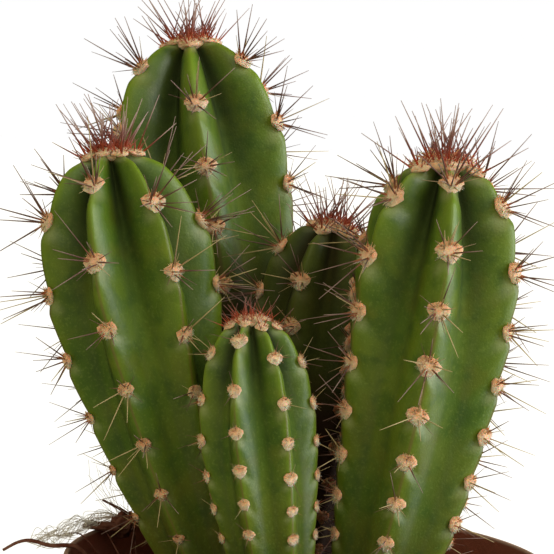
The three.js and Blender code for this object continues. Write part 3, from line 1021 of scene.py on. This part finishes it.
def felt_finish():
    """Matted felt: orange-tan at a pad's top and cream at its foot, pinker when young, browner with age."""
    constants = {"Sheen Weight": 0.2, "Subsurface Weight": 0.5, "Subsurface Scale": 0.0015}
    felt = Finish("areole_felt", constants)
    fall = felt.attribute("fall")
    tint = felt.attribute("tint")
    clump = felt.noise(900, 3)
    fibre = felt.noise(3500, 2)
    low = felt.step(fall + 0.5 * clump, 0.35, 1.2)
    tan = felt.blend(low, paint(250, 178, 134), paint(255, 220, 192))
    tan = felt.blend(felt.step(tint, 0.3, 1.0), tan, paint(164, 108, 68))
    tan = felt.blend(felt.step(0 - tint, 0.1, 0.4), tan, paint(255, 200, 164))
    tan = felt.blend(0.35 * felt.step(fibre, 0.5, 0.68), tan, paint(218, 118, 82))
    felt.surface(base_color=tan, roughness=0.92 + 0.08 * clump, normal=felt.bump(clump + fibre, 0.0006))
    return felt


def spine_finish():
    """Dry spines: red-brown at the root, dark grey-brown above, with some pale straw ones."""
    dry = Finish("spine", {"Specular IOR Level": 0.35})
    along = dry.attribute("along")
    pale = dry.attribute("pale")
    streak = dry.noise(700, 2)
    brown = dry.blend(dry.step(along + 0.15 * streak, 0.0, 0.35), paint(206, 128, 84), paint(104, 74, 68))
    brown = dry.blend(dry.step(along, 0.3, 0.9), brown, paint(150, 126, 122))
    red = dry.blend(dry.step(along + 0.1 * streak, 0.05, 0.45), paint(194, 84, 50), paint(132, 82, 76))
    red = dry.blend(dry.step(along, 0.35, 0.8), red, paint(172, 146, 142))
    brown = dry.blend(dry.step(0 - pale, 0.3, 0.7), brown, red)
    brown = dry.blend(dry.step(pale, 0.45, 0.9), brown, paint(178, 158, 118))
    dry.surface(base_color=brown, roughness=0.5 + 0.2 * streak)
    return dry


def pot_finish():
    """Red-brown moulded plastic: a painted highlight on the rim's top, patchy with dust, and dusty patches.
    """
    plastic = Finish("pot_plastic", {"Specular IOR Level": 0.4})
    dust = plastic.noise(260, 4)
    blotch = plastic.noise(24, 3)
    scuff = plastic.noise(2200, 2)
    height = plastic.node("ShaderNodeSeparateXYZ", {}, {0: plastic.place()}, 2)
    brown = plastic.blend(blotch, paint(130, 64, 48), paint(150, 80, 60))
    # Painted highlight on the rim's top, where the light falls, made patchy with dust.
    top = (POT_HEIGHT - 1.2) * METRES
    rim = plastic.step(height, top, top + 0.0009)
    brown = plastic.blend(rim * (0.55 + 0.45 * dust), brown, paint(176, 146, 134))
    brown = plastic.blend(0.4 * plastic.step(dust, 0.55, 0.8), brown, paint(120, 80, 60))
    bump = plastic.bump(scuff + 3 * dust, 0.0001)
    plastic.surface(base_color=brown, roughness=0.42 + 0.3 * dust, normal=bump)
    return plastic


def soil_finish():
    """Damp dark potting mix."""
    peat = Finish("potting_soil", {"Specular IOR Level": 0.25})
    clod = peat.noise(180, 4)
    crumb = peat.noise(1100, 3)
    brown = peat.blend(clod, paint(34, 22, 14), paint(78, 54, 36))
    brown = peat.blend(0.6 * peat.step(crumb, 0.5, 0.7), brown, paint(104, 78, 54))
    peat.surface(base_color=brown, roughness=0.9 + 0.1 * clod, normal=peat.bump(clod + crumb, 0.0015))
    return peat


def crumb_finish():
    """Crumbs from black peat to tan bark and a little pale grit."""
    bark = Finish("soil_crumb", {"Specular IOR Level": 0.25})
    tint = bark.attribute("tint")
    vein = bark.noise(900, 3)
    brown = bark.blend(bark.step(tint, 0.0, 0.8), paint(36, 24, 16), paint(96, 66, 42))
    brown = bark.blend(bark.step(tint, 0.93, 0.97), brown, paint(168, 152, 128))
    brown = bark.blend(0.4 * vein, brown, paint(50, 34, 22))
    bark.surface(base_color=brown, roughness=0.85 + 0.15 * vein, normal=bark.bump(vein, 0.0005))
    return bark


def root_finish(name, brown, dust):
    """Dry root fibre, brown with grey dust."""
    fibre = Finish(name, {"Specular IOR Level": 0.2})
    patch = fibre.noise(300, 3)
    grain = fibre.noise(2600, 2)
    bark = fibre.blend(fibre.step(patch, 0.35, 0.65), brown, dust)
    fibre.surface(base_color=bark, roughness=0.85 + 0.1 * grain, normal=fibre.bump(grain, 0.0002))
    return fibre


FLESH = flesh_finish()
FELT = felt_finish()
SPINE = spine_finish()
POT_PLASTIC = pot_finish()
SOIL = soil_finish()
CRUMB = crumb_finish()
ROOT = root_finish("dry_root", paint(92, 48, 38), paint(116, 76, 64))
LACE = root_finish("dry_lace", paint(214, 206, 206), paint(244, 240, 240))

pot()
soil()
soil_crumbs(random.Random(5))
dry_roots()
root_lace(random.Random(8))
for number, stem in enumerate(STEMS):
    flesh = stem_flesh(stem)
    stem_areoles(stem, flesh, random.Random(100 + number))
    stem_crown(stem, flesh, random.Random(200 + number))


# ---------------------------------------------------------------------------------------------------------
# Studio
# ---------------------------------------------------------------------------------------------------------

PICTURE_SIDE = 554  # pixels of the photograph's frame
FOCAL_PIXELS = 2289
CAMERA_PLACE = (0, -779.5, 330)
CAMERA_YAW = -1.12  # degrees
CAMERA_PITCH = 5.99  # degrees down
CAMERA_ROLL = 2.4  # degrees
ROOM_RADIUS = 6  # metres
FLOOR_DROP = 0.0002  # metres, so that the floor and the pot's base don't share a plane


def photo_camera():
    """The camera at the photograph's viewing angle."""
    data = bpy.data.cameras.new("photo_camera")
    data.sensor_width = 36
    data.lens = data.sensor_width * FOCAL_PIXELS / PICTURE_SIDE
    data.clip_start = 0.01
    camera = bpy.data.objects.new("photo_camera", data)
    bpy.context.scene.collection.objects.link(camera)
    yaw = Matrix.Rotation(math.radians(-CAMERA_YAW), 4, "Z")
    pitch = Matrix.Rotation(math.radians(90 - CAMERA_PITCH), 4, "X")
    roll = Matrix.Rotation(math.radians(CAMERA_ROLL), 4, "Z")
    camera.matrix_world = Matrix.Translation(Vector(CAMERA_PLACE) * METRES) @ yaw @ pitch @ roll
    bpy.context.scene.camera = camera


def sun(name, bearing, elevation, strength, width, colour):
    """Soft light from a bearing, in degrees from -Y towards +X, with an elevation and a width in degrees."""
    data = bpy.data.lights.new(name, "SUN")
    data.energy = strength
    data.angle = math.radians(width)
    data.color = colour
    light = bpy.data.objects.new(name, data)
    bpy.context.scene.collection.objects.link(light)
    turn = Matrix.Rotation(math.radians(bearing), 4, "Z")
    tilt = Matrix.Rotation(math.radians(90 - elevation), 4, "X")
    light.matrix_world = turn @ tilt


def stage_finish(name, colour, glow):
    """A matt finish that glows, so that it reads as white."""
    card = Finish(name, {"Base Color": colour, "Roughness": 1.0, "Emission Color": (1, 1, 1, 1)})
    card.shader.inputs["Emission Strength"].default_value = glow
    return card


def stage_piece(name, bm, finish):
    """A piece of the studio. The camera sees it, but it sends no light or shadow to the object."""
    mesh = bpy.data.meshes.new(name)
    bm.to_mesh(mesh)
    bm.free()
    mesh.materials.append(finish.material)
    piece = bpy.data.objects.new(name, mesh)
    bpy.context.scene.collection.objects.link(piece)
    piece.visible_glossy = False
    piece.visible_diffuse = False
    piece.visible_shadow = False


def studio():
    floor = bmesh.new()
    bmesh.ops.create_circle(floor, cap_ends=True, segments=64, radius=ROOM_RADIUS)
    bmesh.ops.translate(floor, vec=(0, 0, -FLOOR_DROP), verts=floor.verts)
    stage_piece("floor", floor, stage_finish("pale_floor", (0.3, 0.3, 0.3, 1), glow=0.85))
    room = bmesh.new()
    bmesh.ops.create_icosphere(room, subdivisions=4, radius=ROOM_RADIUS)
    stage_piece("backdrop", room, stage_finish("white_backdrop", (0, 0, 0, 1), glow=1.0))
    sun("window", bearing=84, elevation=3, strength=2.05, width=60, colour=(0.92, 0.97, 1.12))
    sun("lamp", bearing=55, elevation=32, strength=0.8, width=25, colour=(0.96, 1.0, 0.92))
    sun("ceiling", bearing=0, elevation=45, strength=0.3, width=40, colour=(1.0, 1.0, 0.9))
    world = bpy.data.worlds.new("dim_room")
    world.use_nodes = True
    world.node_tree.nodes["Background"].inputs["Color"].default_value = (1.0, 0.92, 0.6, 1)
    world.node_tree.nodes["Background"].inputs["Strength"].default_value = 0.7
    world.cycles_visibility.glossy = False
    bpy.context.scene.world = world
    bpy.context.scene.view_settings.view_transform = "Standard"


photo_camera()
studio()
